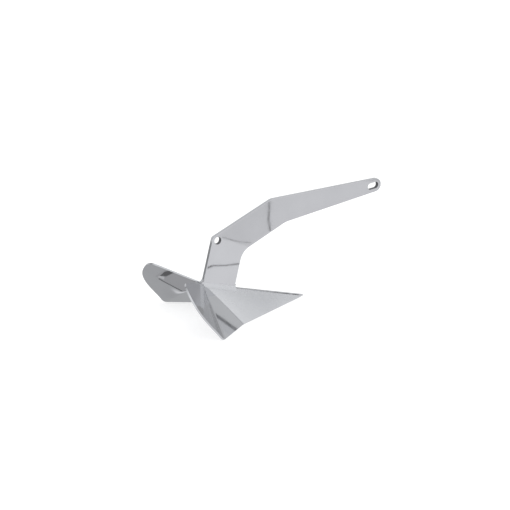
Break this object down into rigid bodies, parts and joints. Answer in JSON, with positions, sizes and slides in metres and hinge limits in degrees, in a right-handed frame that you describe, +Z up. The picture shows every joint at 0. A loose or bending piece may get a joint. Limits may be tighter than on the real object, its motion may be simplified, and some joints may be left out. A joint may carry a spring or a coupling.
{
  "type": "boat anchor",
  "caption": "Fixed-shank plough anchor: flat bent-profile shank plate on a two-blade folded fluke with raised wings and a ballasted toe.",
  "frame": {"origin": "middle of the bottom of the whole anchor's box, on the surface it stands on", "axes": "+X towards the toe and the shackle end of the shank, +Y to port, +Z up"},
  "size_m": [0.725, 0.3442, 0.3245],
  "materials": {
    "polished_steel": "polished",
    "weld_steel": "polished",
    "chamber_steel": "satin",
    "lead": "matte"
  },
  "bodies": {
    "root": {"shank": "polished_steel", "blade_starboard": "polished_steel", "blade_port": "polished_steel", "ridge_weld": "weld_steel", "shank_front_weld": "weld_steel", "shank_heel_weld": "weld_steel", "shank_weld_starboard": "weld_steel", "shank_weld_port": "weld_steel", "toe_root_weld": "weld_steel", "ridge_root_weld": "weld_steel", "tongue_weld_starboard": "weld_steel", "tongue_weld_port": "weld_steel", "floor_weld_starboard": "weld_steel", "floor_weld_port": "weld_steel", "bulkhead_weld_starboard": "weld_steel", "bulkhead_weld_port": "weld_steel", "chamber_floor": "chamber_steel", "chamber_bulkhead": "chamber_steel", "ballast_casting": "lead"}
  },
  "joints": []
}
